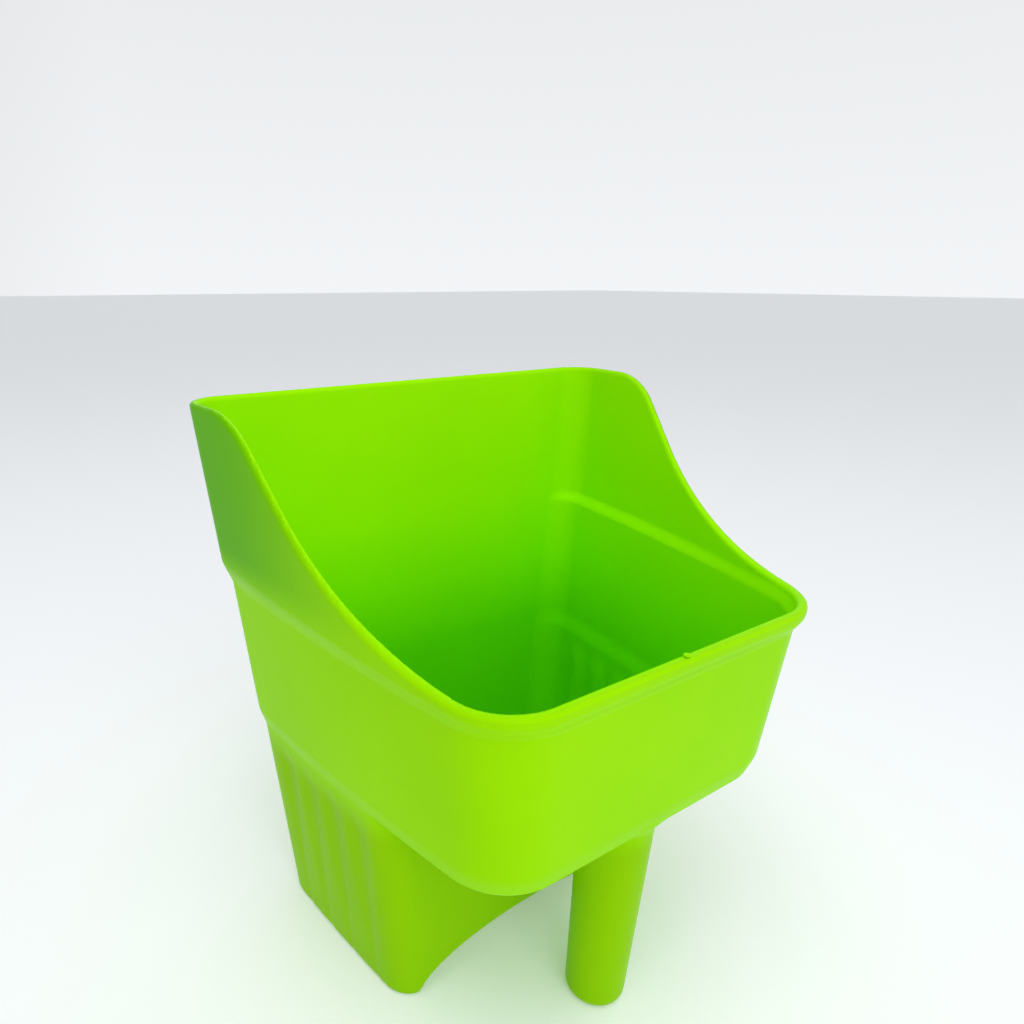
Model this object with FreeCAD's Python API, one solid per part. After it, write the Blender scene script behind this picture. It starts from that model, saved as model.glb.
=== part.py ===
import FreeCAD, Part
import math
import os
from FreeCAD import Vector

os.makedirs("parts", exist_ok=True)

# Enclosed feed scoop, one injection moulding written out as its separate zones.
# Millimetres.  +Z up, +Y towards the tall back wall, -Y towards the pouring lip, +X right.
# z = 0 is the plane the scoop stands on (underside of the heel and end of the grip).

# levels
TOP_Z = 205.4
RIM_Z = 143.5
RIDGE_Z = 139.1
RIDGE_TILT = 0.029
STEP_Z = 79.2

# outside walls, measured at the level of the bin's underside (z = STEP_Z)
WIDEST = 82.6
WIDEST_Y = 120.0
SIDE_R = 833.0
SIDE_DRAFT = 0.104
BACK_Y = 69.5
BACK_LEAN = 0.047
FRONT_Y = -66.8
FRONT_LEAN = 0.094
BACK_R = 15.0
BACK_IN_R = 9.0
FRONT_R = 23.0

# the collar above the ridge stands proud, the heel under the bin steps in
COLLAR_OUT = 2.4
SHOULDER_RISE = 5.2
SHOULDER_TILT = 0.06
HEEL_IN = 1.5
WALL = 3.0
COLLAR_WALL = 4.0
LEDGE_RISE = 3.0
STEP_TAPER = 8.5
RIM_ROUND = 1.0

# S-shaped top edge of the side walls
CURVE_START_Y = -66.3
CURVE_R = 100.8
CURVE_ANGLE = 49.2
PEAK_R = 29.0

# heel
HEEL_FRONT_Y = -18.3
HEEL_FRONT_LEAN = 0.03
FOOT_R = 11.5
ARCH_HALF = 54.0
ARCH_RISE = 16.5
ARCH_DEPTH = 46.0

# flutes in the heel's side walls, running out towards the foot
FLUTES = 4
FLUTE_FIRST_Y = 43.4
FLUTE_PITCH = 14.9
FLUTE_HALF = 7.0
FLUTE_DEPTH = 1.2
FLUTE_FOOT_DEPTH = 0.4
FLUTE_TOP_Z = 66.0

# grip
GRIP_ROOT_Y = -51.5
GRIP_END_Y = -46.8
GRIP_ROOT_R = 12.5
GRIP_END_R = 10.3
GRIP_WALL = 3.0
GRIP_TIP_R = 3.6
GRIP_TIP_Z = 10.0
FLARE = 3.6

# gate mark on the lip
GATE_X = -1.8
GATE_R = 1.1
GATE_H = 1.3

# planes that part the moulding into its zones
BACK_CUT_Y = 42.0
FRONT_CUT_Y = -42.0
BACK_CUT_X = 57.0
FRONT_CUT_X = 36.0
FOOT_CUT_X = 47.0
FOOT_CUT_Y = -7.0
FAR = 150.0


def side_x(y, z, off):
    """Half width of the outside at depth y and height z, moved out by off.

    Each side is one large arc in plan, widest far behind the back wall."""
    bow = math.sqrt(SIDE_R ** 2 - (y - WIDEST_Y) ** 2) - SIDE_R
    return WIDEST + SIDE_DRAFT * (z - STEP_Z) + bow + off


def corner(level, tilt, off, wall_y, radius, towards):
    """Right-hand corner arc of an outline: its end on the side wall, middle, end on the flat wall.

    towards is -1 at the front and 1 at the back."""
    centre_y = wall_y - towards * radius
    y = centre_y
    for _ in range(4):
        slope = (WIDEST_Y - y) / math.sqrt(SIDE_R ** 2 - (WIDEST_Y - y) ** 2)
        size = math.hypot(1, slope)
        y = centre_y - radius * slope / size
    centre_x = side_x(y, level + tilt * y, off) - radius / size
    half_way = Vector(1 / size, towards - slope / size, 0).normalize()
    middle = Vector(centre_x, centre_y, 0) + half_way * radius
    points = [Vector(centre_x + radius / size, y, 0), middle, Vector(centre_x, wall_y, 0)]
    return [Vector(p.x, p.y, level + tilt * p.y) for p in points]


def outline(level, tilt, side_off, front, lean, back_off, back_r, front_r):
    """Closed wire round the walls in the plane z = level + tilt * y: bowed sides and round corners."""
    y_front = (front - lean * (level - STEP_Z)) / (1 + lean * tilt)
    y_back = (BACK_Y + back_off + BACK_LEAN * (level - STEP_Z)) / (1 - BACK_LEAN * tilt)
    fore = corner(level, tilt, side_off, y_front, front_r, -1)
    rear = corner(level, tilt, side_off, y_back, back_r, 1)
    y = (fore[0].y + rear[0].y) / 2
    z = level + tilt * y
    side = [fore[0], Vector(side_x(y, z, side_off), y, z), rear[0]]

    def mirrored(points):
        return [Vector(-p.x, p.y, p.z) for p in points]

    run = [[mirrored(fore)[2], fore[2]], fore[::-1], side, rear, [rear[2], mirrored(rear)[2]],
           mirrored(rear)[::-1], mirrored(side)[::-1], mirrored(fore)]
    edges = []
    for points in run:
        if len(points) == 2:
            edges.append(Part.makeLine(points[0], points[1]))
        else:
            edges.append(Part.Arc(points[0], points[1], points[2]).toShape())
    return Part.Wire(edges)


def stack(outlines):
    """Solid that runs straight from each outline to the next."""
    return Part.makeLoft(outlines, True, True)


def outer_outline(level, tilt, off):
    return outline(level, tilt, off, FRONT_Y - off, FRONT_LEAN, 0, BACK_R, FRONT_R + max(off, 0))


def bin_inner_outline(level, tilt, off):
    return outline(level, tilt, off, FRONT_Y - off, FRONT_LEAN, -WALL, BACK_IN_R, FRONT_R - WALL)


def heel_outline(level, depth_in):
    """Outline of the heel set in by depth_in all round."""
    back_r = BACK_IN_R if depth_in > 0 else BACK_R
    return outline(level, 0, -HEEL_IN - depth_in, HEEL_FRONT_Y + depth_in, HEEL_FRONT_LEAN,
                   -depth_in, back_r, FOOT_R - depth_in)


def front_y(z, off):
    return FRONT_Y - FRONT_LEAN * (z - STEP_Z) - off


def make_outside():
    bin_and_collar = stack([
        outer_outline(STEP_Z, 0, -HEEL_IN),
        outer_outline(STEP_Z + STEP_TAPER, 0, 0),
        outer_outline(RIDGE_Z, RIDGE_TILT, 0),
        outer_outline(RIDGE_Z + SHOULDER_RISE, SHOULDER_TILT, COLLAR_OUT),
        outer_outline(TOP_Z, 0, COLLAR_OUT),
    ])
    heel = stack([heel_outline(0, 0), heel_outline(STEP_Z, 0)])
    heel = heel.cut(arch_tool(0))
    for side in (-1, 1):
        for tool in flute_tools(side, 0):
            heel = heel.cut(tool)
    return bin_and_collar.fuse(heel)


def heel_core():
    """Everything inside the heel's walls, from under the ground up into the bin."""
    core = stack([heel_outline(-4, WALL), heel_outline(STEP_Z + WALL + 2, WALL)])
    for side in (-1, 1):
        for tool in flute_tools(side, WALL - 0.3):
            core = core.cut(tool)
    return core


def make_inside():
    ledge_z = RIDGE_Z - 1.0
    bin_in = -WALL - HEEL_IN / 2
    collar_in = COLLAR_OUT - COLLAR_WALL
    bin_space = stack([
        bin_inner_outline(STEP_Z + WALL, 0, bin_in),
        bin_inner_outline(ledge_z, RIDGE_TILT, bin_in),
        bin_inner_outline(ledge_z + LEDGE_RISE, RIDGE_TILT, collar_in),
        bin_inner_outline(TOP_Z + 5, 0, collar_in),
    ])
    heel_space = heel_core().common(slab(WALL, FAR)).cut(arch_tool(WALL))
    return bin_space.fuse(heel_space)


def arch_tool(grow):
    """Elliptical tunnel under the heel's front edge that runs out to nothing towards the back."""
    ellipse = Part.Ellipse(Vector(0, 0, 0), ARCH_HALF + grow, ARCH_RISE + grow)
    face = Part.Face(Part.Wire([ellipse.toShape()]))
    face.rotate(Vector(0, 0, 0), Vector(1, 0, 0), 90)
    start = -8.0
    slope = ARCH_RISE / ARCH_DEPTH
    face.translate(Vector(0, HEEL_FRONT_Y + start, -slope * start))
    length = ARCH_DEPTH * 1.5
    return face.extrude(Vector(0, length, -slope * length))


def flute_tools(side, grow):
    """Round-ended rods that press the flutes in from outside; grow gives the matching ribs inside."""
    radius = (FLUTE_HALF ** 2 + FLUTE_DEPTH ** 2) / (2 * FLUTE_DEPTH)
    tools = []
    for i in range(FLUTES):
        y = FLUTE_FIRST_Y - i * FLUTE_PITCH
        foot = Vector(side * side_x(y, 0, radius - HEEL_IN - FLUTE_FOOT_DEPTH), y, 0)
        head = Vector(side * side_x(y, FLUTE_TOP_Z, radius - HEEL_IN - FLUTE_DEPTH), y, FLUTE_TOP_Z)
        below = foot + (foot - head) * 0.2
        rod = Part.makeCylinder(radius + grow, (head - below).Length, below, head - below)
        tools.append(rod.fuse(Part.makeSphere(radius + grow, head)))
    return tools


def make_grip():
    """The grip's outside with its flare, and the bore that opens into the bin."""
    root = Vector(0, GRIP_ROOT_Y, STEP_Z)
    end = Vector(0, GRIP_END_Y, 0)
    axis = root - end
    over = 10.0
    low = end - axis * (over / axis.Length)
    grow = (GRIP_ROOT_R - GRIP_END_R) / axis.Length
    radii = (GRIP_END_R - over * grow, GRIP_ROOT_R + over * grow)
    span = axis.Length + 2 * over
    outer = Part.makeCone(radii[0], radii[1], span, low, axis)
    bore = Part.makeCone(radii[0] - GRIP_WALL, radii[1] - GRIP_WALL, span, low, axis)
    outer = outer.common(slab(0, STEP_Z))
    rim = [e for e in outer.Edges if e.CenterOfMass.z < 1 and e.BoundBox.ZMax < 3]
    outer = outer.makeFillet(GRIP_TIP_R, rim)
    bore = bore.common(slab(GRIP_WALL, STEP_Z + WALL + 1))
    end_edge = [e for e in bore.Edges if e.BoundBox.ZMax < GRIP_WALL + 1]
    bore = bore.makeFillet(GRIP_TIP_R - GRIP_WALL, end_edge)
    flare_foot = Vector(0, GRIP_ROOT_Y + FLARE * 0.06, STEP_Z - FLARE)
    flare = Part.makeCone(GRIP_ROOT_R, GRIP_ROOT_R + FLARE, FLARE, flare_foot, Vector(0, 0, 1))
    return outer.fuse(flare), bore


def box(x0, x1, y0, y1, z0, z1):
    return Part.makeBox(x1 - x0, y1 - y0, z1 - z0, Vector(x0, y0, z0))


def slab(low, high):
    return box(-FAR, FAR, -FAR, FAR, low, high)


def across(edges):
    """Prism right across the scoop from a closed run of edges in the plane x = 0."""
    face = Part.Face(Part.Wire(edges))
    face.translate(Vector(-FAR, 0, 0))
    return face.extrude(Vector(2 * FAR, 0, 0))


def above_rim():
    """Everything over the S-shaped top edge."""
    angle = math.radians(CURVE_ANGLE)
    start = Vector(0, CURVE_START_Y, RIM_Z)
    centre = start + Vector(0, 0, CURVE_R)

    def on_arc(a):
        return centre + Vector(0, CURVE_R * math.sin(a), -CURVE_R * math.cos(a))

    arc_end = on_arc(angle)
    tangent = PEAK_R * math.tan(angle / 2)
    peak_corner = Vector(0, arc_end.y + (TOP_Z - arc_end.z) / math.tan(angle), TOP_Z)
    peak_in = peak_corner - Vector(0, math.cos(angle), math.sin(angle)) * tangent
    peak_out = peak_corner + Vector(0, tangent, 0)
    lift = Vector(0, -math.sin(angle / 2), math.cos(angle / 2)) * PEAK_R
    peak_mid = peak_out - Vector(0, 0, PEAK_R) + lift
    front_low = Vector(0, -FAR, RIM_Z)
    back_low = Vector(0, FAR, TOP_Z)
    rise = Vector(0, 0, 60)
    return across([
        Part.makeLine(front_low, start),
        Part.Arc(start, on_arc(angle / 2), arc_end).toShape(),
        Part.makeLine(arc_end, peak_in),
        Part.Arc(peak_in, peak_mid, peak_out).toShape(),
        Part.makeLine(peak_out, back_low),
        Part.makeLine(back_low, back_low + rise),
        Part.makeLine(back_low + rise, front_low + rise * 2),
        Part.makeLine(front_low + rise * 2, front_low),
    ])


def ridge_zone(end_z):
    """Everything between the tilted plane of the ridge and the level end_z."""
    corners = [Vector(0, -FAR, RIDGE_Z - RIDGE_TILT * FAR), Vector(0, FAR, RIDGE_Z + RIDGE_TILT * FAR),
               Vector(0, FAR, end_z), Vector(0, -FAR, end_z)]
    return across([Part.makeLine(corners[i], corners[(i + 1) % 4]) for i in range(4)])


def round_rim(shape):
    """Rounds the inner and outer edges of the lip, where the whole run can be rounded."""
    cutter = above_rim()
    edges = []
    for edge in shape.Edges:
        low, high = edge.ParameterRange
        probes = [edge.valueAt(low + (high - low) * share) for share in (0.2, 0.5, 0.8)]
        on_lip = all(cutter.distToShape(Part.Vertex(point))[0] < 0.02 for point in probes)
        if on_lip and probes[1].z > RIDGE_Z + 2:
            edges.append(edge)
    try:
        rounded = shape.makeFillet(RIM_ROUND, edges)
        if rounded.isValid() and rounded.Volume < shape.Volume:
            return rounded
        print("lip rounding gave a bad solid")
    except Exception as problem:
        print("lip left square", problem)
    return shape


outside = make_outside()
inside = make_inside()
shell = outside.cut(inside).cut(above_rim())
shell = round_rim(shell)
grip, bore = make_grip()
shell = shell.cut(bore)
grip = grip.cut(bore)
print("shell valid", shell.isValid(), "solids", len(shell.Solids), "volume", round(shell.Volume))
print("grip valid", grip.isValid(), "volume", round(grip.Volume))

parts = {}


def keep(names, shapes):
    for name, shape in zip(names, shapes):
        if name:
            parts[name] = shape


def sides(zone, x_cut):
    """The zone's part left of -x_cut, between, and right of x_cut."""
    spans = ((-FAR, -x_cut), (-x_cut, x_cut), (x_cut, FAR))
    return [zone.common(box(x0, x1, -FAR, FAR, -5, 300)) for x0, x1 in spans]


def depth(y0, y1):
    return box(-FAR, FAR, y0, y1, -5, 300)


rear = depth(BACK_CUT_Y, FAR)
mid = depth(FRONT_CUT_Y, BACK_CUT_Y)
front = depth(-FAR, FRONT_CUT_Y)

# tall back, cheeks and lip, above the ridge
top_level = shell.common(ridge_zone(TOP_Z + 80))
keep(("blade_left_corner", "blade_panel", "blade_right_corner"), sides(top_level.common(rear), BACK_CUT_X))
keep(("left_cheek", None, "right_cheek"), sides(top_level.common(mid), 20))
keep(("rim_left_corner", "rim_bead", "rim_right_corner"), sides(top_level.common(front), FRONT_CUT_X))

# the bin floor is the plate inside the walls, the heel opens behind it
bin_level = shell.common(ridge_zone(STEP_Z))
floor_off = -WALL - HEEL_IN / 2
floor_levels = (STEP_Z - 1, STEP_Z + WALL)
floor_plate = stack([bin_inner_outline(level, 0, floor_off) for level in floor_levels])
floor_plate = floor_plate.common(depth(-FAR, HEEL_FRONT_Y + WALL))
keep(("bin_floor",), (bin_level.common(floor_plate),))
bin_walls = bin_level.cut(floor_plate)
keep(("bin_back_left_corner", "bin_back_panel", "bin_back_right_corner"),
     sides(bin_walls.common(rear), BACK_CUT_X))
keep(("bin_left_wall", None, "bin_right_wall"), sides(bin_walls.common(mid), 20))
keep(("bin_front_left_corner", "bin_front_wall", "bin_front_right_corner"),
     sides(bin_walls.common(front), FRONT_CUT_X))

# heel: bottom plate first, then the walls around it
heel_level = shell.common(slab(-5, STEP_Z))
heel_bottom = heel_level.common(heel_core())
keep(("heel_bottom",), (heel_bottom,))
heel_walls = heel_level.cut(heel_bottom)
keep(("heel_back_left_corner", "heel_back_panel", "heel_back_right_corner"),
     sides(heel_walls.common(rear), BACK_CUT_X))
keep(("heel_left_wall", None, "heel_right_wall"), sides(heel_walls.common(depth(FOOT_CUT_Y, BACK_CUT_Y)), 20))
keep(("heel_left_foot", "heel_front_wall", "heel_right_foot"),
     sides(heel_walls.common(depth(-FAR, FOOT_CUT_Y)), FOOT_CUT_X))

keep(("grip_root",), (grip.common(slab(STEP_Z - FLARE, STEP_Z)),))
keep(("grip_tube",), (grip.common(slab(GRIP_TIP_Z, STEP_Z - FLARE)),))
keep(("grip_tip",), (grip.common(slab(-5, GRIP_TIP_Z)),))

gate_y = front_y(RIM_Z, COLLAR_OUT) + COLLAR_WALL / 2
gate_foot = Vector(GATE_X, gate_y, RIM_Z)
keep(("gate_mark",), (Part.makeCylinder(GATE_R, GATE_H, gate_foot, Vector(0, 0, 1)),))

total = 0.0
for name, shape in parts.items():
    solids = shape.Solids
    if len(solids) != 1 or not shape.isValid():
        print("CHECK", name, "valid", shape.isValid(), "solids", [round(s.Volume, 2) for s in solids])
    solid = max(solids, key=lambda s: s.Volume)
    total += solid.Volume
    solid.exportStep("parts/" + name + ".step")
print(len(parts), "nodes, volume", round(total), "mm3")
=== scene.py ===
import math

import bmesh
import bpy
import numpy as np
from mathutils import Matrix, Vector


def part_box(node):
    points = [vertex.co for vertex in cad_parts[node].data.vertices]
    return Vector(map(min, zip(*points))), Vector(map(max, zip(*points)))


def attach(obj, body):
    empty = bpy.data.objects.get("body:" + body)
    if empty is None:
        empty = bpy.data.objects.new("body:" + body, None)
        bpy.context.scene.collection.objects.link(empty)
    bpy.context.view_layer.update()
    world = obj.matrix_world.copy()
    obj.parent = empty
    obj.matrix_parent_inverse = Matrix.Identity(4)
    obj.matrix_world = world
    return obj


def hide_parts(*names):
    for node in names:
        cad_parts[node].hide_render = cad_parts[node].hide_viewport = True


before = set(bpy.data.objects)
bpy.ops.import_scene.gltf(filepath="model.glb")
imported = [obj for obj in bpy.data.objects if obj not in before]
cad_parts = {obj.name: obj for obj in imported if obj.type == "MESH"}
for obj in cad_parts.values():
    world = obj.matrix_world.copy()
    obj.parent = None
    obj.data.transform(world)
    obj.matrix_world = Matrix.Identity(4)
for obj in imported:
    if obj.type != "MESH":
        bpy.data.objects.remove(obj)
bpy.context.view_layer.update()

# The scoop is one moulding, so its visible skin is made once, from one distance field in
# millimetres, and then parted into the same zones as the CAD nodes.  Row frame: +Z up,
# +Y towards the tall back, z = 0 the plane it stands on.
MM = 0.001
# keeps square roots and divisions off zero
TINY = 1e-9


def top(node):
    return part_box(node)[1] / MM


def low(node):
    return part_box(node)[0] / MM


# levels and places that the CAD nodes give
TOP_Z = top("blade_panel").z
RIM_Z = top("rim_bead").z
STEP_Z = low("bin_floor").z
WALL = top("bin_floor").z - STEP_Z
BACK_CUT_Y = top("left_cheek").y
FRONT_CUT_Y = low("left_cheek").y
BACK_CUT_X = top("blade_panel").x
FRONT_CUT_X = top("rim_bead").x
FOOT_CUT_X = top("heel_front_wall").x
FOOT_CUT_Y = low("heel_left_wall").y
ROOT_Z = low("grip_root").z
TIP_Z = top("grip_tip").z

# outside walls at the level of the bin's underside
WIDEST = 82.6
WIDEST_Y = 120.0
SIDE_R = 833.0
SIDE_DRAFT = 0.104
BACK_Y = 69.5
BACK_LEAN = 0.047
FRONT_Y = -66.8
FRONT_LEAN = 0.094
BACK_R = 14.5
BACK_IN_R = 11.0
FRONT_R = 23.0
RIDGE_Z = 139.1
RIDGE_TILT = 0.029
SHOULDER_RISE = 5.2
SHOULDER_TILT = 0.06
# the soft band between ridge and shoulder starts below the one and ends above the other
BAND_BELOW_RIDGE = 2.0
BAND_OVER_SHOULDER = 0.4
LEDGE_RISE = 5.4
COLLAR_OUT = 2.4
# the lip is this much thicker than the walls, from its front to the middle of the sides
COLLAR_EXTRA = 1.0
EXTRA_FROM_Y, EXTRA_TO_Y = -45.0, 10.0
HEEL_IN = 1.5
STEP_UNDERCUT = 0.6
STEP_TAPER = 8.5
FLOOR_EDGE_R = 1.6
INNER_EDGE_R = 4.0
LIP_R = 1.4

# S-shaped top edge
CURVE_START_Y = -66.3
CURVE_R = 100.8
CURVE_ANGLE = math.radians(49.2)
PEAK_R = 29.0

# heel, flutes and arch
HEEL_FRONT_Y = -18.3
HEEL_FRONT_LEAN = 0.03
FOOT_R = 11.5
FOOT_EDGE_R = 2.0
ARCH_HALF = 54.0
ARCH_RISE = 16.5
ARCH_SLOPE = 16.5 / 46.0
FLUTES = 4
FLUTE_FIRST_Y = 43.4
FLUTE_PITCH = 14.9
FLUTE_HALF = 7.2
FLUTE_DEPTH = 1.2
FLUTE_FOOT_DEPTH = 0.15
FLUTE_FULL_Z = 60.0
FLUTE_END_Z = 77.5
FLUTE_END_STRETCH = 1.6
RIB_SHARE = 0.85

# fillets where the heel meets the bin, outside and inside; they end behind the heel's front
HEEL_FILLET = 1.8
HEEL_FILLET_IN = 2.2
FILLET_FROM, FILLET_TO = 1.0, 7.0

# grip
GRIP_ROOT = np.array([0.0, -51.5, 79.2])
GRIP_END = np.array([0.0, -46.8, 0.0])
GRIP_ROOT_R = 12.5
GRIP_END_R = 10.3
GRIP_WALL = 3.0
GRIP_TIP_R = 3.6
GRIP_BLEND = 3.4
BORE_BLEND = 1.6

# how far fields that meet reach into each other
OVERLAP_GRIP = 1.0
OVERLAP_BORE = 4.0
OVERLAP_HEEL = 6.0

# spacing of the grid that the skin is drawn from, and its first and last corner
CELL = 1.2
GRID_LOW = (-98.4, -79.2, -2.4)
GRID_HIGH = (98.4, 79.2, 208.8)


def ease(a, b, t):
    """0 below a, 1 above b, and a smooth step between."""
    s = np.clip((t - a) / (b - a), 0, 1)
    return s * s * (3 - 2 * s)


def meet(a, b, r, c=0.0):
    """Intersection of two fields, rounded to radius r; c is the cosine between their normals."""
    u, v = a + r, b + r
    arc = np.sqrt(np.maximum(u * u + v * v - 2 * c * u * v, 0) / (1 - c * c)) - r
    return np.where((u - c * v > 0) & (v - c * u > 0), arc, np.maximum(a, b))


def join(a, b, r):
    """Union of two fields with a fillet of radius r."""
    return -meet(-a, -b, r)


def rim_height(y):
    """Height of the top edge at depth y, and its slope."""
    y = np.asarray(y, float)
    arc_y = CURVE_START_Y + CURVE_R * math.sin(CURVE_ANGLE)
    arc_z = RIM_Z + CURVE_R * (1 - math.cos(CURVE_ANGLE))
    slope = math.tan(CURVE_ANGLE)
    corner_y = arc_y + (TOP_Z - arc_z) / slope
    tangent = PEAK_R * math.tan(CURVE_ANGLE / 2)
    peak_in = corner_y - tangent * math.cos(CURVE_ANGLE)
    peak_out = corner_y + tangent
    along = np.clip(y - CURVE_START_Y, 0, CURVE_R * math.sin(CURVE_ANGLE))
    rise = np.sqrt(CURVE_R ** 2 - along ** 2)
    height = RIM_Z + CURVE_R - rise
    grade = along / rise
    straight = (y > arc_y) & (y <= peak_in)
    height = np.where(y > arc_y, arc_z + (y - arc_y) * slope, height)
    grade = np.where(straight, slope, grade)
    over = np.clip(peak_out - y, 0, PEAK_R * 0.99)    # short of the vertical
    drop = np.sqrt(PEAK_R ** 2 - over ** 2)
    height = np.where(y > peak_in, TOP_Z - PEAK_R + drop, height)
    grade = np.where(y > peak_in, over / drop, grade)
    return height, grade


def ridge(y):
    return RIDGE_Z + RIDGE_TILT * y


def collar_share(y, z):
    """0 below the ridge, 1 above the sloping band over it."""
    foot = ridge(y) - BAND_BELOW_RIDGE
    shoulder = RIDGE_Z + SHOULDER_RISE + SHOULDER_TILT * y + BAND_OVER_SHOULDER
    share = np.clip((z - foot) / (shoulder - foot), 0, 1)
    return 0.5 * share + 0.5 * ease(0, 1, share)


def ledge_share(y, z):
    """The same for the ledge inside: 0 below it, 1 above it."""
    return ease(ridge(y), ridge(y) + LEDGE_RISE, z)


def flute_depth(y, z):
    """How far the flutes are pressed in; they run out towards the foot."""
    full = FLUTE_FOOT_DEPTH + (FLUTE_DEPTH - FLUTE_FOOT_DEPTH) * np.clip(z / FLUTE_FULL_Z, 0, 1)
    half = FLUTE_HALF * np.sqrt(full / FLUTE_DEPTH)
    round_end = FLUTE_END_STRETCH * half
    share = np.zeros(np.broadcast(y, z).shape)
    for i in range(FLUTES):
        away = (y - (FLUTE_FIRST_Y - i * FLUTE_PITCH)) / half
        up = np.maximum(z - (FLUTE_END_Z - round_end), 0) / round_end
        reach = np.clip(np.hypot(away, up), 0, 1)
        share = np.maximum(share, 0.5 + 0.5 * np.cos(math.pi * reach))
    return full * share


def side_slope(y):
    """How fast the half width grows with y on the large arc of the side wall."""
    return (WIDEST_Y - y) / np.sqrt(SIDE_R ** 2 - (y - WIDEST_Y) ** 2)


def side_field(x, y, z, out):
    """Distance outside both side walls, moved out by out; the other walls have the same."""
    bow = np.sqrt(SIDE_R ** 2 - (y - WIDEST_Y) ** 2) - SIDE_R
    wide = WIDEST + SIDE_DRAFT * (z - STEP_Z) + bow + out
    return (np.abs(x) - wide) / np.sqrt(1 + SIDE_DRAFT ** 2 + side_slope(y) ** 2)


def front_field(y, z, place, lean, out):
    return (place - lean * (z - STEP_Z) - out - y) / math.sqrt(1 + lean ** 2)


def back_field(y, z, out):
    return (y - BACK_Y - BACK_LEAN * (z - STEP_Z) - out) / math.sqrt(1 + BACK_LEAN ** 2)


def arch_field(x, y, z, grow):
    """Elliptical tunnel under the heel's front edge, sinking towards the back."""
    middle = -ARCH_SLOPE * (y - HEEL_FRONT_Y)
    a, b = ARCH_HALF + grow, ARCH_RISE + grow
    u, v = x / a, (z - middle) / b
    k0 = np.sqrt(u * u + v * v) + 1e-6
    k1 = np.sqrt((u / a) ** 2 + (v / b) ** 2) + 1e-6
    return k0 * (k0 - 1) / k1


def grip_fields(x, y, z):
    """The grip's outside and its bore."""
    length = np.linalg.norm(GRIP_ROOT - GRIP_END)
    axis = (GRIP_ROOT - GRIP_END) / length
    dy, dz = y - GRIP_END[1], z - GRIP_END[2]
    along = dy * axis[1] + dz * axis[2]
    across = np.sqrt(np.maximum(x ** 2 + dy ** 2 + dz ** 2 - along ** 2, 0) + TINY)
    radius = GRIP_END_R + (GRIP_ROOT_R - GRIP_END_R) * along / length
    outer = meet(across - radius, -z, GRIP_TIP_R)
    outer = np.maximum(outer, z - STEP_Z - OVERLAP_GRIP)
    bore = meet(across - radius + GRIP_WALL, GRIP_WALL - z, GRIP_TIP_R - GRIP_WALL)
    bore = np.maximum(bore, z - STEP_Z - WALL - OVERLAP_BORE)
    return outer, bore


def hull_and_hollow(x, y, z):
    """Distances to the scoop's outside and to the hollow within it, before the top edge is cut."""
    collar = collar_share(y, z)
    step = HEEL_IN * (ease(STEP_Z - STEP_UNDERCUT, STEP_Z + STEP_TAPER, z) - 1)
    out = step + COLLAR_OUT * collar
    extra = COLLAR_EXTRA * (1 - ease(EXTRA_FROM_Y, EXTRA_TO_Y, y))
    out_in = step - WALL + (COLLAR_OUT - extra) * ledge_share(y, z)

    # outside: bin with its collar, then the heel under the back of it
    side = side_field(x, y, z, out)
    back = back_field(y, z, 0)
    c = side_slope(y)
    bin_out = meet(side, back, BACK_R, -c)
    front = front_field(y, z, FRONT_Y, FRONT_LEAN, out)
    bin_out = meet(bin_out, front, FRONT_R + COLLAR_OUT * collar, c)
    bin_out = meet(bin_out, STEP_Z - z, FLOOR_EDGE_R)
    fluted = side + flute_depth(y, z)
    heel_out = meet(fluted, back, BACK_R, -c)
    heel_out = meet(heel_out, front_field(y, z, HEEL_FRONT_Y, HEEL_FRONT_LEAN, 0), FOOT_R, c)
    heel_out = meet(heel_out, -z, FOOT_EDGE_R)
    heel_out = meet(heel_out, -arch_field(x, y, z, 0), FOOT_EDGE_R)
    heel_out = np.maximum(heel_out, z - STEP_Z - STEP_TAPER)
    front_part = 1 - ease(HEEL_FRONT_Y + FILLET_FROM, HEEL_FRONT_Y + FILLET_TO, y)
    outside = join(bin_out, heel_out, HEEL_FILLET * front_part)
    grip, bore = grip_fields(x, y, z)
    outside = join(outside, grip, GRIP_BLEND)

    # inside: the same walls set in by their thickness
    side_in = side_field(x, y, z, out_in)
    back_in = back_field(y, z, -WALL)
    walls_in = meet(side_in, back_in, BACK_IN_R, -c)
    bin_in = meet(walls_in, front_field(y, z, FRONT_Y, FRONT_LEAN, out_in), FRONT_R - WALL, c)
    bin_in = meet(bin_in, STEP_Z + WALL - z, INNER_EDGE_R)
    ribbed = side_in + RIB_SHARE * flute_depth(y, z)
    heel_in = meet(ribbed, back_in, BACK_IN_R, -c)
    heel_front = front_field(y, z, HEEL_FRONT_Y + WALL, HEEL_FRONT_LEAN, 0)
    heel_in = meet(heel_in, heel_front, FOOT_R - WALL, c)
    heel_in = meet(heel_in, WALL - z, INNER_EDGE_R)
    heel_in = meet(heel_in, -arch_field(x, y, z, WALL), INNER_EDGE_R)
    heel_in = np.maximum(heel_in, z - STEP_Z - WALL - OVERLAP_HEEL)
    inside = join(bin_in, heel_in, HEEL_FILLET_IN * front_part)
    return outside, join(inside, bore, BORE_BLEND)


def scoop_field(x, y, z):
    """Distance to the scoop's skin, below zero inside the plastic."""
    outside, inside = hull_and_hollow(x, y, z)
    shell = np.maximum(outside, -inside)
    height, grade = rim_height(y)
    return meet(shell, (z - height) / np.sqrt(1 + grade ** 2), LIP_R)


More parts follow.
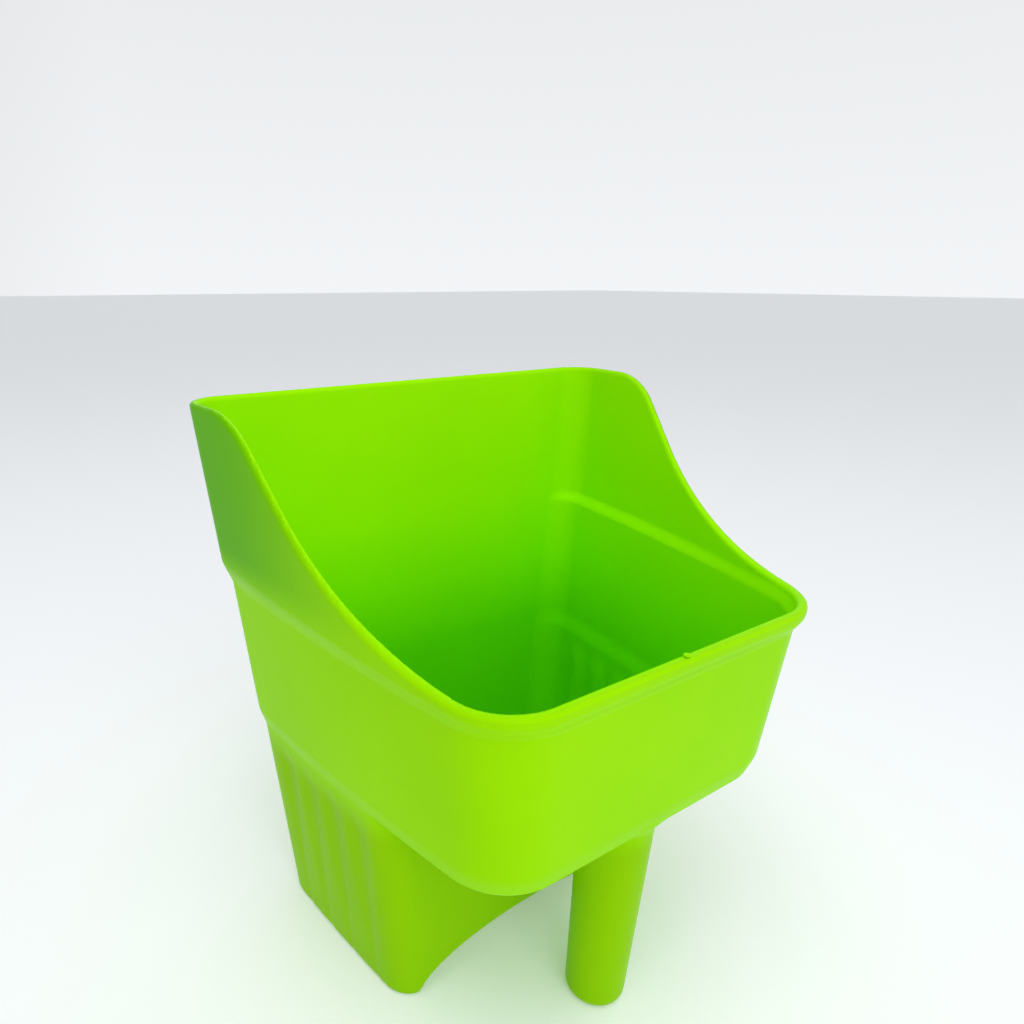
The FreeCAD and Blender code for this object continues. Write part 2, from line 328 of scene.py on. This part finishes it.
def skin_from_field(field, lowest, highest, cell):
    """Surface nets: one vertex in each grid cell that the skin crosses, then pulled onto the skin."""
    axes = [np.arange(lo, hi + cell, cell) for lo, hi in zip(lowest, highest)]
    nx, ny, nz = (len(a) for a in axes)
    values = np.empty((nx, ny, nz), np.float32)
    yy, zz = np.meshgrid(axes[1], axes[2], indexing="ij")
    for i, x in enumerate(axes[0]):
        values[i] = field(np.full_like(yy, x), yy, zz)
    inside = values < 0
    total = np.zeros((nx - 1, ny - 1, nz - 1, 3), np.float32)
    count = np.zeros((nx - 1, ny - 1, nz - 1), np.float32)
    quads = []
    for axis in range(3):
        others = [a for a in range(3) if a != axis]
        head = [slice(None)] * 3
        tail = [slice(None)] * 3
        head[axis], tail[axis] = slice(0, -1), slice(1, None)
        first, last = values[tuple(head)], values[tuple(tail)]
        crossing = inside[tuple(head)] != inside[tuple(tail)]
        at = np.argwhere(crossing)
        share = first[crossing] / (first[crossing] - last[crossing])
        point = at.astype(np.float32)
        point[:, axis] += share
        corners = []
        for da, db in ((0, 0), (1, 0), (1, 1), (0, 1)):
            cells = at.copy()
            cells[:, others[0]] -= da
            cells[:, others[1]] -= db
            corners.append(cells)
            index = tuple(cells.T)
            np.add.at(total, index, point)
            np.add.at(count, index, 1)
        quad = np.stack([np.ravel_multi_index(tuple(c.T), count.shape) for c in corners], 1)
        outward = (last[crossing] > 0) ^ (axis == 1)
        quad[~outward] = quad[~outward][:, ::-1]
        quads.append(quad)
    used = np.flatnonzero(count.ravel())
    places = total.reshape(-1, 3)[used] / count.ravel()[used][:, None] * cell + np.array(lowest)
    number = np.zeros(count.size, np.int64)
    number[used] = np.arange(len(used))
    return places, number[np.concatenate(quads)]


def slope_of(field, p, reach=0.05):
    """Gradient of a field at points p."""
    grad = np.empty_like(p)
    for axis in range(3):
        step = np.zeros(3)
        step[axis] = reach
        a, b = p + step, p - step
        grad[:, axis] = (field(*a.T) - field(*b.T)) / (2 * reach)
    return grad


def pull_to_skin(field, p, turns):
    """Newton steps along the gradient onto the field's zero."""
    for _ in range(turns):
        grad = slope_of(field, p)
        size = np.maximum((grad ** 2).sum(1), 0.2)
        p = p - np.clip(field(*p.T) / size, -CELL, CELL)[:, None] * grad
    return p


def relax(p, quads, turns):
    """Evens the mesh out: each vertex moves towards its neighbours' mean, then back to the skin."""
    for _ in range(turns):
        total = np.zeros_like(p)
        count = np.zeros(len(p))
        for a, b in ((0, 1), (1, 2), (2, 3), (3, 0)):
            np.add.at(total, quads[:, a], p[quads[:, b]])
            np.add.at(count, quads[:, a], 1)
            np.add.at(total, quads[:, b], p[quads[:, a]])
            np.add.at(count, quads[:, b], 1)
        p = p + 0.5 * (total / count[:, None] - p)
        p = pull_to_skin(scoop_field, p, 1)
    return p


def mesh_object(name, places, faces):
    mesh = bpy.data.meshes.new(name)
    mesh.from_pydata([tuple(v) for v in places], [], [tuple(f) for f in faces])
    mesh.update()
    made = bpy.data.objects.new(name, mesh)
    bpy.context.scene.collection.objects.link(made)
    return made


points, quads = skin_from_field(scoop_field, GRID_LOW, GRID_HIGH, CELL)
points = pull_to_skin(scoop_field, points, 3)
points = relax(points, quads, 3)
points = pull_to_skin(scoop_field, points, 3)
master = mesh_object("master_skin", points * MM, quads)

# ---------------------------------------------------------------- zones
FAR = 150.0
OVER_TOP, UNDER_GROUND = 260.0, -9.0
# the side pieces lie outside this half width
SIDE_CUT_X = 20.0
GRIP_HALF, GRIP_BEHIND_Y = 30.0, -30.0
HEEL_LEVEL_FRONT_Y = -28.0
PRISM_STEPS = 48


def block(x0, x1, y0, y1, low_z, high_z):
    """Corners of a box whose floor and roof may tilt: low_z and high_z are functions of y."""
    corners = []
    for level in (low_z, high_z):
        for x, y in ((x0, y0), (x1, y0), (x1, y1), (x0, y1)):
            corners.append((x, y, level(y)))
    faces = [(3, 2, 1, 0), (4, 5, 6, 7)]
    faces += [(i, (i + 1) % 4, 4 + (i + 1) % 4, 4 + i) for i in range(4)]
    return corners, faces


def at(level):
    return lambda y: level


roof, ground, step = at(OVER_TOP), at(UNDER_GROUND), at(STEP_Z)


def prism(z0, z1, out, front_place, lean, front_r, y_end=None):
    """Rounded prism that follows the inside of the walls; y_end squares it off at the back."""
    rings = []
    for z in (z0, z1):
        y_back = BACK_Y + BACK_LEAN * (z - STEP_Z) - WALL if y_end is None else y_end
        y_front = front_place - lean * (z - STEP_Z)
        back_r = BACK_IN_R if y_end is None else 0
        half = []
        for k in range(PRISM_STEPS + 1):
            y = y_front + (y_back - y_front) * (1 - math.cos(math.pi * k / PRISM_STEPS)) / 2
            bow = math.sqrt(SIDE_R ** 2 - (y - WIDEST_Y) ** 2) - SIDE_R
            wide = WIDEST + SIDE_DRAFT * (z - STEP_Z) + bow + out
            for into, radius in ((y - y_front, front_r), (y_back - y, back_r)):
                if into < radius:
                    wide -= radius - math.sqrt(max(radius ** 2 - (radius - into) ** 2, 0))
            half.append((wide, y))
        ring = half + [(-x, y) for x, y in reversed(half)]
        rings.append([(x, y, z) for x, y in ring])
    n = len(rings[0])
    faces = [tuple(reversed(range(n))), tuple(range(n, 2 * n))]
    faces += [(i, (i + 1) % n, n + (i + 1) % n, n + i) for i in range(n)]
    return rings[0] + rings[1], faces


def cut(source, tool_shape, mode, name):
    """source with a zone kept (INTERSECT) or taken away (DIFFERENCE), as a new object."""
    corners, faces = tool_shape
    tool = mesh_object("zone", np.array(corners) * MM, faces)
    bm = bmesh.new()
    bm.from_mesh(tool.data)
    bmesh.ops.recalc_face_normals(bm, faces=bm.faces)
    bm.to_mesh(tool.data)
    bm.free()
    modifier = source.modifiers.new("cut", "BOOLEAN")
    modifier.operation = mode
    modifier.solver = "MANIFOLD"
    modifier.object = tool
    result = bpy.data.meshes.new_from_object(source.evaluated_get(bpy.context.evaluated_depsgraph_get()))
    source.modifiers.clear()
    bpy.data.objects.remove(tool)
    made = bpy.data.objects.new(name + "_skin", result)
    bpy.context.scene.collection.objects.link(made)
    return made


def part_across(source, x_cut, names):
    """Parts a level into left, middle and right; a missing name is dropped."""
    spans = ((-FAR, -x_cut), (-x_cut, x_cut), (x_cut, FAR))
    made = []
    for (x0, x1), name in zip(spans, names):
        if name:
            made.append(cut(source, block(x0, x1, -FAR, FAR, ground, roof), "INTERSECT", name))
    bpy.data.objects.remove(source)
    return made


def level_parts(source, y0, y1, low_z, high_z, x_cut, names):
    band = cut(source, block(-FAR, FAR, y0, y1, low_z, high_z), "INTERSECT", "band")
    return part_across(band, x_cut, names)


pieces = []
pieces += level_parts(master, BACK_CUT_Y, FAR, ridge, roof, BACK_CUT_X,
                      ("blade_left_corner", "blade_panel", "blade_right_corner"))
pieces += level_parts(master, FRONT_CUT_Y, BACK_CUT_Y, ridge, roof, SIDE_CUT_X,
                      ("left_cheek", None, "right_cheek"))
pieces += level_parts(master, -FAR, FRONT_CUT_Y, ridge, roof, FRONT_CUT_X,
                      ("rim_left_corner", "rim_bead", "rim_right_corner"))

floor_plate = prism(STEP_Z - 3, STEP_Z + WALL, -WALL - HEEL_IN / 2, FRONT_Y + WALL, FRONT_LEAN,
                    FRONT_R - WALL, HEEL_FRONT_Y + WALL)
bin_level = cut(master, block(-FAR, FAR, -FAR, FAR, step, ridge), "INTERSECT", "bin_level")
pieces.append(cut(bin_level, floor_plate, "INTERSECT", "bin_floor"))
bin_walls = cut(bin_level, floor_plate, "DIFFERENCE", "bin_walls")
bpy.data.objects.remove(bin_level)
pieces += level_parts(bin_walls, BACK_CUT_Y, FAR, ground, roof, BACK_CUT_X,
                      ("bin_back_left_corner", "bin_back_panel", "bin_back_right_corner"))
pieces += level_parts(bin_walls, FRONT_CUT_Y, BACK_CUT_Y, ground, roof, SIDE_CUT_X,
                      ("bin_left_wall", None, "bin_right_wall"))
pieces += level_parts(bin_walls, -FAR, FRONT_CUT_Y, ground, roof, FRONT_CUT_X,
                      ("bin_front_left_corner", "bin_front_wall", "bin_front_right_corner"))
bpy.data.objects.remove(bin_walls)

heel_level = cut(master, block(-FAR, FAR, HEEL_LEVEL_FRONT_Y, FAR, ground, step), "INTERSECT", "heel_level")
bottom_plate = prism(-4, WALL + ARCH_RISE + 1, -WALL - HEEL_IN, HEEL_FRONT_Y + WALL, HEEL_FRONT_LEAN,
                     FOOT_R - WALL)
heel_bottom = cut(heel_level, bottom_plate, "INTERSECT", "heel_bottom")
heel_walls = cut(heel_level, bottom_plate, "DIFFERENCE", "heel_walls")
pieces.append(heel_bottom)
bpy.data.objects.remove(heel_level)
pieces += level_parts(heel_walls, BACK_CUT_Y, FAR, ground, roof, BACK_CUT_X,
                      ("heel_back_left_corner", "heel_back_panel", "heel_back_right_corner"))
pieces += level_parts(heel_walls, FOOT_CUT_Y, BACK_CUT_Y, ground, roof, SIDE_CUT_X,
                      ("heel_left_wall", None, "heel_right_wall"))
pieces += level_parts(heel_walls, -FAR, FOOT_CUT_Y, ground, roof, FOOT_CUT_X,
                      ("heel_left_foot", "heel_front_wall", "heel_right_foot"))
bpy.data.objects.remove(heel_walls)

for name, z0, z1 in (("grip_root", ROOT_Z, STEP_Z), ("grip_tube", TIP_Z, ROOT_Z),
                     ("grip_tip", UNDER_GROUND, TIP_Z)):
    grip_zone = block(-GRIP_HALF, GRIP_HALF, -FAR, GRIP_BEHIND_Y, at(z0), at(z1))
    pieces.append(cut(master, grip_zone, "INTERSECT", name))
bpy.data.objects.remove(master)

# a face whose flat normal leaves the skin's by more than this cosine is a cut face
CUT_COSINE = 0.55


def set_skin_normals(piece):
    """Normals straight from the field, so the zones' seams don't show; cut faces stay flat."""
    mesh = piece.data
    count = len(mesh.vertices)
    co = np.empty(count * 3)
    mesh.vertices.foreach_get("co", co)
    at_vertex = slope_of(scoop_field, co.reshape(-1, 3) / MM)
    at_vertex /= np.linalg.norm(at_vertex, axis=1)[:, None] + TINY
    loops = np.empty(len(mesh.loops), np.int32)
    mesh.loops.foreach_get("vertex_index", loops)
    starts = np.empty(len(mesh.polygons), np.int32)
    sizes = np.empty(len(mesh.polygons), np.int32)
    flat = np.empty(len(mesh.polygons) * 3)
    mesh.polygons.foreach_get("loop_start", starts)
    mesh.polygons.foreach_get("loop_total", sizes)
    mesh.polygons.foreach_get("normal", flat)
    face_of = np.repeat(np.arange(len(sizes)), sizes)
    flat = flat.reshape(-1, 3)[face_of]
    normals = at_vertex[loops]
    agree = (normals * flat).sum(1)
    worst = np.ones(len(sizes))
    np.minimum.at(worst, face_of, agree)
    is_cut = worst[face_of] < CUT_COSINE
    normals[is_cut] = flat[is_cut]
    mesh.polygons.foreach_set("use_smooth", np.ones(len(mesh.polygons), bool))
    mesh.normals_split_custom_set(normals.tolist())


# painted light and shade in the cup: red and green shares multiplied into the plastic's colour inside, from
# the top edge (0) to the bin's underside (1), brighter near the top and darker and greener towards the
# bottom
CUP_PAINTED_SHADING_RED = ((0, 0.15, 0.45, 0.70, 0.95), (1.02, 1.04, 1.00, 0.72, 0.38))
CUP_PAINTED_SHADING_GREEN = ((0, 0.45, 0.70, 0.95), (1.10, 1.16, 1.12, 0.92))
# painted shade outside: what is taken off the colour on the high side walls and on the heel
SIDE_PAINTED_SHADE_RED, SIDE_PAINTED_SHADE_GREEN = 0.62, 0.38
HEEL_PAINTED_SHADE_RED, HEEL_PAINTED_SHADE_GREEN = 0.14, 0.20


def paint_light_and_shade(piece):
    """Paints light and shade into the plastic's colour by place: it stands in for the light in the cup that
    has soaked through more of the plastic than outside, and for shade on the high side walls and on the
    heel.
    """
    mesh = piece.data
    co = np.empty(len(mesh.vertices) * 3)
    mesh.vertices.foreach_get("co", co)
    x, y, z = (co.reshape(-1, 3) / MM).T
    outside, inside = hull_and_hollow(x, y, z)
    within = ease(-1.2, 1.2, np.abs(outside) - np.abs(inside))
    depth = np.clip((TOP_Z - z) / (TOP_Z - STEP_Z), 0, 1)
    # painted shade on the high side walls, towards the back
    high_side = ease(RIDGE_Z - 2, RIDGE_Z + 18, z) * ease(-45, 50, y) * ease(30, 82, np.abs(x))
    # painted shade on the heel under the bin
    heel = (1 - ease(STEP_Z - 12, STEP_Z + 2, z)) * (1 - ease(50, 68, y))
    red = (1 - SIDE_PAINTED_SHADE_RED * high_side) * (1 - HEEL_PAINTED_SHADE_RED * heel)
    green = (1 - SIDE_PAINTED_SHADE_GREEN * high_side) * (1 - HEEL_PAINTED_SHADE_GREEN * heel)
    # painted light near the top of the cup and painted shade deeper in it
    red += within * (np.interp(depth, *CUP_PAINTED_SHADING_RED) - red)
    green += within * (np.interp(depth, *CUP_PAINTED_SHADING_GREEN) - green)
    painted_shading = np.stack([red, green, np.ones_like(red), np.ones_like(red)], 1)
    layer = mesh.attributes.new("painted_shading", "FLOAT_COLOR", "POINT")
    layer.data.foreach_set("color", painted_shading.astype(np.float32).ravel())


# ---------------------------------------------------------------- material
def plastic():
    """Lime polypropylene with a satin moulded surface."""
    material = bpy.data.materials.new("lime_polypropylene")
    material.use_nodes = True
    nodes, links = material.node_tree.nodes, material.node_tree.links
    shader = nodes["Principled BSDF"]
    shader.inputs["IOR"].default_value = 1.49
    shader.inputs["Specular IOR Level"].default_value = 0.022
    shader.inputs["Specular Tint"].default_value = (0.7, 1.0, 0.3, 1)
    place = nodes.new("ShaderNodeTexCoord")

    def noise(scale, detail, roughness=0.5):
        node = nodes.new("ShaderNodeTexNoise")
        node.inputs["Scale"].default_value = scale
        node.inputs["Detail"].default_value = detail
        node.inputs["Roughness"].default_value = roughness
        links.new(place.outputs["Object"], node.inputs["Vector"])
        return node.outputs["Fac"]

    def ramp(source, stops):
        node = nodes.new("ShaderNodeValToRGB")
        elements = node.color_ramp.elements
        elements[0].position, elements[0].color = stops[0]
        elements[1].position, elements[1].color = stops[-1]
        for position, color in stops[1:-1]:
            elements.new(position).color = color
        links.new(source, node.inputs["Fac"])
        return node.outputs["Color"]

    # faint streaks of pigment that the melt drew out as it filled the mould
    streaks = ramp(noise(14, 3), ((0.30, (0.312, 0.765, 0.0004, 1)), (0.70, (0.345, 0.810, 0.0008, 1))))
    # the vertex attribute multiplies painted light and shade into the base colour
    painted_shading = nodes.new("ShaderNodeAttribute")
    painted_shading.attribute_name = "painted_shading"
    base = nodes.new("ShaderNodeMix")
    base.data_type = "RGBA"
    base.blend_type = "MULTIPLY"
    base.inputs["Factor"].default_value = 1
    links.new(streaks, base.inputs["A"])
    links.new(painted_shading.outputs["Color"], base.inputs["B"])
    links.new(base.outputs["Result"], shader.inputs["Base Color"])
    rough = ramp(noise(60, 4, 0.6), ((0.25, (0.27,) * 3 + (1,)), (0.75, (0.36,) * 3 + (1,))))
    links.new(rough, shader.inputs["Roughness"])
    bump = nodes.new("ShaderNodeBump")
    bump.inputs["Strength"].default_value = 0.06
    bump.inputs["Distance"].default_value = 0.0002
    links.new(noise(2200, 2), bump.inputs["Height"])
    wave = nodes.new("ShaderNodeBump")
    wave.inputs["Strength"].default_value = 0.10
    wave.inputs["Distance"].default_value = 0.0006
    links.new(noise(38, 2), wave.inputs["Height"])
    links.new(bump.outputs["Normal"], wave.inputs["Normal"])
    links.new(wave.outputs["Normal"], shader.inputs["Normal"])
    return material


lime = plastic()
for piece in pieces:
    set_skin_normals(piece)
    # paints light and shade into the vertex colour
    paint_light_and_shade(piece)
    piece.data.materials.clear()
    piece.data.materials.append(lime)
    node = piece.name.removesuffix("_skin")
    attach(piece, "root")
    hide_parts(node)


def gate_nub():
    """The torn stub of the gate on the lip: a low, uneven button."""
    gate_low, gate_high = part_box("gate_mark")
    middle = (gate_low + gate_high) / 2
    half = (gate_high - gate_low) / 2
    bm = bmesh.new()
    bmesh.ops.create_icosphere(bm, subdivisions=4, radius=1.0)
    rng = np.random.default_rng(7)
    lumps = rng.normal(size=(6, 3))
    for v in bm.verts:
        d = v.co.normalized()
        lump = sum(math.sin(3 * d.dot(Vector(l)) + i) for i, l in enumerate(lumps)) / 6
        size = 0.93 + 0.07 * lump
        v.co = Vector((d.x * half.x, d.y * half.y, d.z * half.z)) * size
        v.co.z = min(v.co.z, half.z * (0.72 + 0.2 * d.x))
        v.co += middle
    mesh = bpy.data.meshes.new("gate_mark_nub")
    bm.to_mesh(mesh)
    bm.free()
    mesh.polygons.foreach_set("use_smooth", [True] * len(mesh.polygons))
    nub = bpy.data.objects.new("gate_mark_nub", mesh)
    bpy.context.scene.collection.objects.link(nub)
    mesh.materials.append(lime)
    # paints light and shade into the nub's vertex colour
    paint_light_and_shade(nub)
    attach(nub, "root")
    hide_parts("gate_mark")


gate_nub()

# ---------------------------------------------------------------- floor, light, camera
FLOOR_HALF = 12.0


def pale_floor():
    """Plain floor that glows a little, so that it stays pale away from the lamps."""
    material = bpy.data.materials.new("pale_floor")
    material.use_nodes = True
    shader = material.node_tree.nodes["Principled BSDF"]
    shader.inputs["Base Color"].default_value = (0.90, 0.91, 0.93, 1)
    shader.inputs["Roughness"].default_value = 0.6
    shader.inputs["Emission Color"].default_value = (0.95, 0.97, 1, 1)
    shader.inputs["Emission Strength"].default_value = 0.16
    return material


corners = [(x * FLOOR_HALF, y * FLOOR_HALF, 0) for x, y in ((-1, -1), (1, -1), (1, 1), (-1, 1))]
floor = mesh_object("floor", corners, [(0, 1, 2, 3)])
floor.data.materials.append(pale_floor())


SCOOP_MIDDLE = (0, 0, 0.12)


def softbox(name, place, size, power):
    data = bpy.data.lights.new(name, "AREA")
    data.shape = "RECTANGLE"
    data.size, data.size_y = size
    data.energy = power
    lamp = bpy.data.objects.new(name, data)
    bpy.context.scene.collection.objects.link(lamp)
    lamp.location = place
    lamp.rotation_euler = (Vector(SCOOP_MIDDLE) - Vector(place)).to_track_quat("-Z", "Y").to_euler()


softbox("key", (-0.30, -1.15, 0.95), (0.9, 0.8), 4.2)
softbox("top", (-0.30, -0.25, 1.30), (0.8, 0.8), 5.5)


def studio():
    """A pale room: bright walls, dimmer ceiling, and dimmer again on the scoop's left."""
    world = bpy.data.worlds.new("studio")
    world.use_nodes = True
    nodes, links = world.node_tree.nodes, world.node_tree.links
    place = nodes.new("ShaderNodeTexCoord")
    split = nodes.new("ShaderNodeSeparateXYZ")
    ramp = nodes.new("ShaderNodeValToRGB")
    stops = ((0.00, 0.93), (0.33, 0.85), (0.60, 0.62), (1.00, 0.62))
    elements = ramp.color_ramp.elements
    for position, _ in stops[1:-1]:
        elements.new(position)
    for element, (position, level) in zip(elements, stops):
        element.position = position
        element.color = (level * 0.96, level * 0.98, level, 1)
    links.new(place.outputs["Generated"], split.inputs["Vector"])
    links.new(split.outputs["Z"], ramp.inputs["Fac"])
    links.new(ramp.outputs["Color"], nodes["Background"].inputs["Color"])
    sideways = nodes.new("ShaderNodeMapRange")
    sideways.inputs["From Min"].default_value = -1
    sideways.inputs["From Max"].default_value = 0.2
    sideways.inputs["To Min"].default_value = 0.48
    sideways.inputs["To Max"].default_value = 1
    links.new(split.outputs["X"], sideways.inputs["Value"])
    links.new(sideways.outputs["Result"], nodes["Background"].inputs["Strength"])
    bpy.context.scene.world = world


studio()
bpy.context.scene.view_settings.view_transform = "Standard"

# hand-held close-up from the front left: distance, focal length and aim in millimetres and degrees
CAMERA_AZIMUTH = -33.67
CAMERA_ELEVATION = 15.78
CAMERA_ROLL = 0.08
CAMERA_DISTANCE = 299.0
CAMERA_AIM = (-7.69, 46.0, 164.7)
SENSOR = 36.0
FOCAL = 26.54
SHIFT = (0.0757, -0.0199)

az, el, roll = (math.radians(a) for a in (CAMERA_AZIMUTH, CAMERA_ELEVATION, CAMERA_ROLL))
away = Vector((math.sin(az) * math.cos(el), -math.cos(az) * math.cos(el), math.sin(el)))
camera_data = bpy.data.cameras.new("camera")
camera_data.sensor_width = SENSOR
camera_data.lens = FOCAL
camera_data.shift_x, camera_data.shift_y = SHIFT
camera_data.clip_start = 0.01
camera = bpy.data.objects.new("camera", camera_data)
bpy.context.scene.collection.objects.link(camera)
forward = -away
right = forward.cross(Vector((0, 0, 1))).normalized()
up = right.cross(forward)
right_rolled = right * math.cos(roll) + up * math.sin(roll)
up_rolled = up * math.cos(roll) - right * math.sin(roll)
turn = Matrix((right_rolled, up_rolled, away)).transposed().to_4x4()
camera.matrix_world = Matrix.Translation((Vector(CAMERA_AIM) + away * CAMERA_DISTANCE) * MM) @ turn
bpy.context.scene.camera = camera
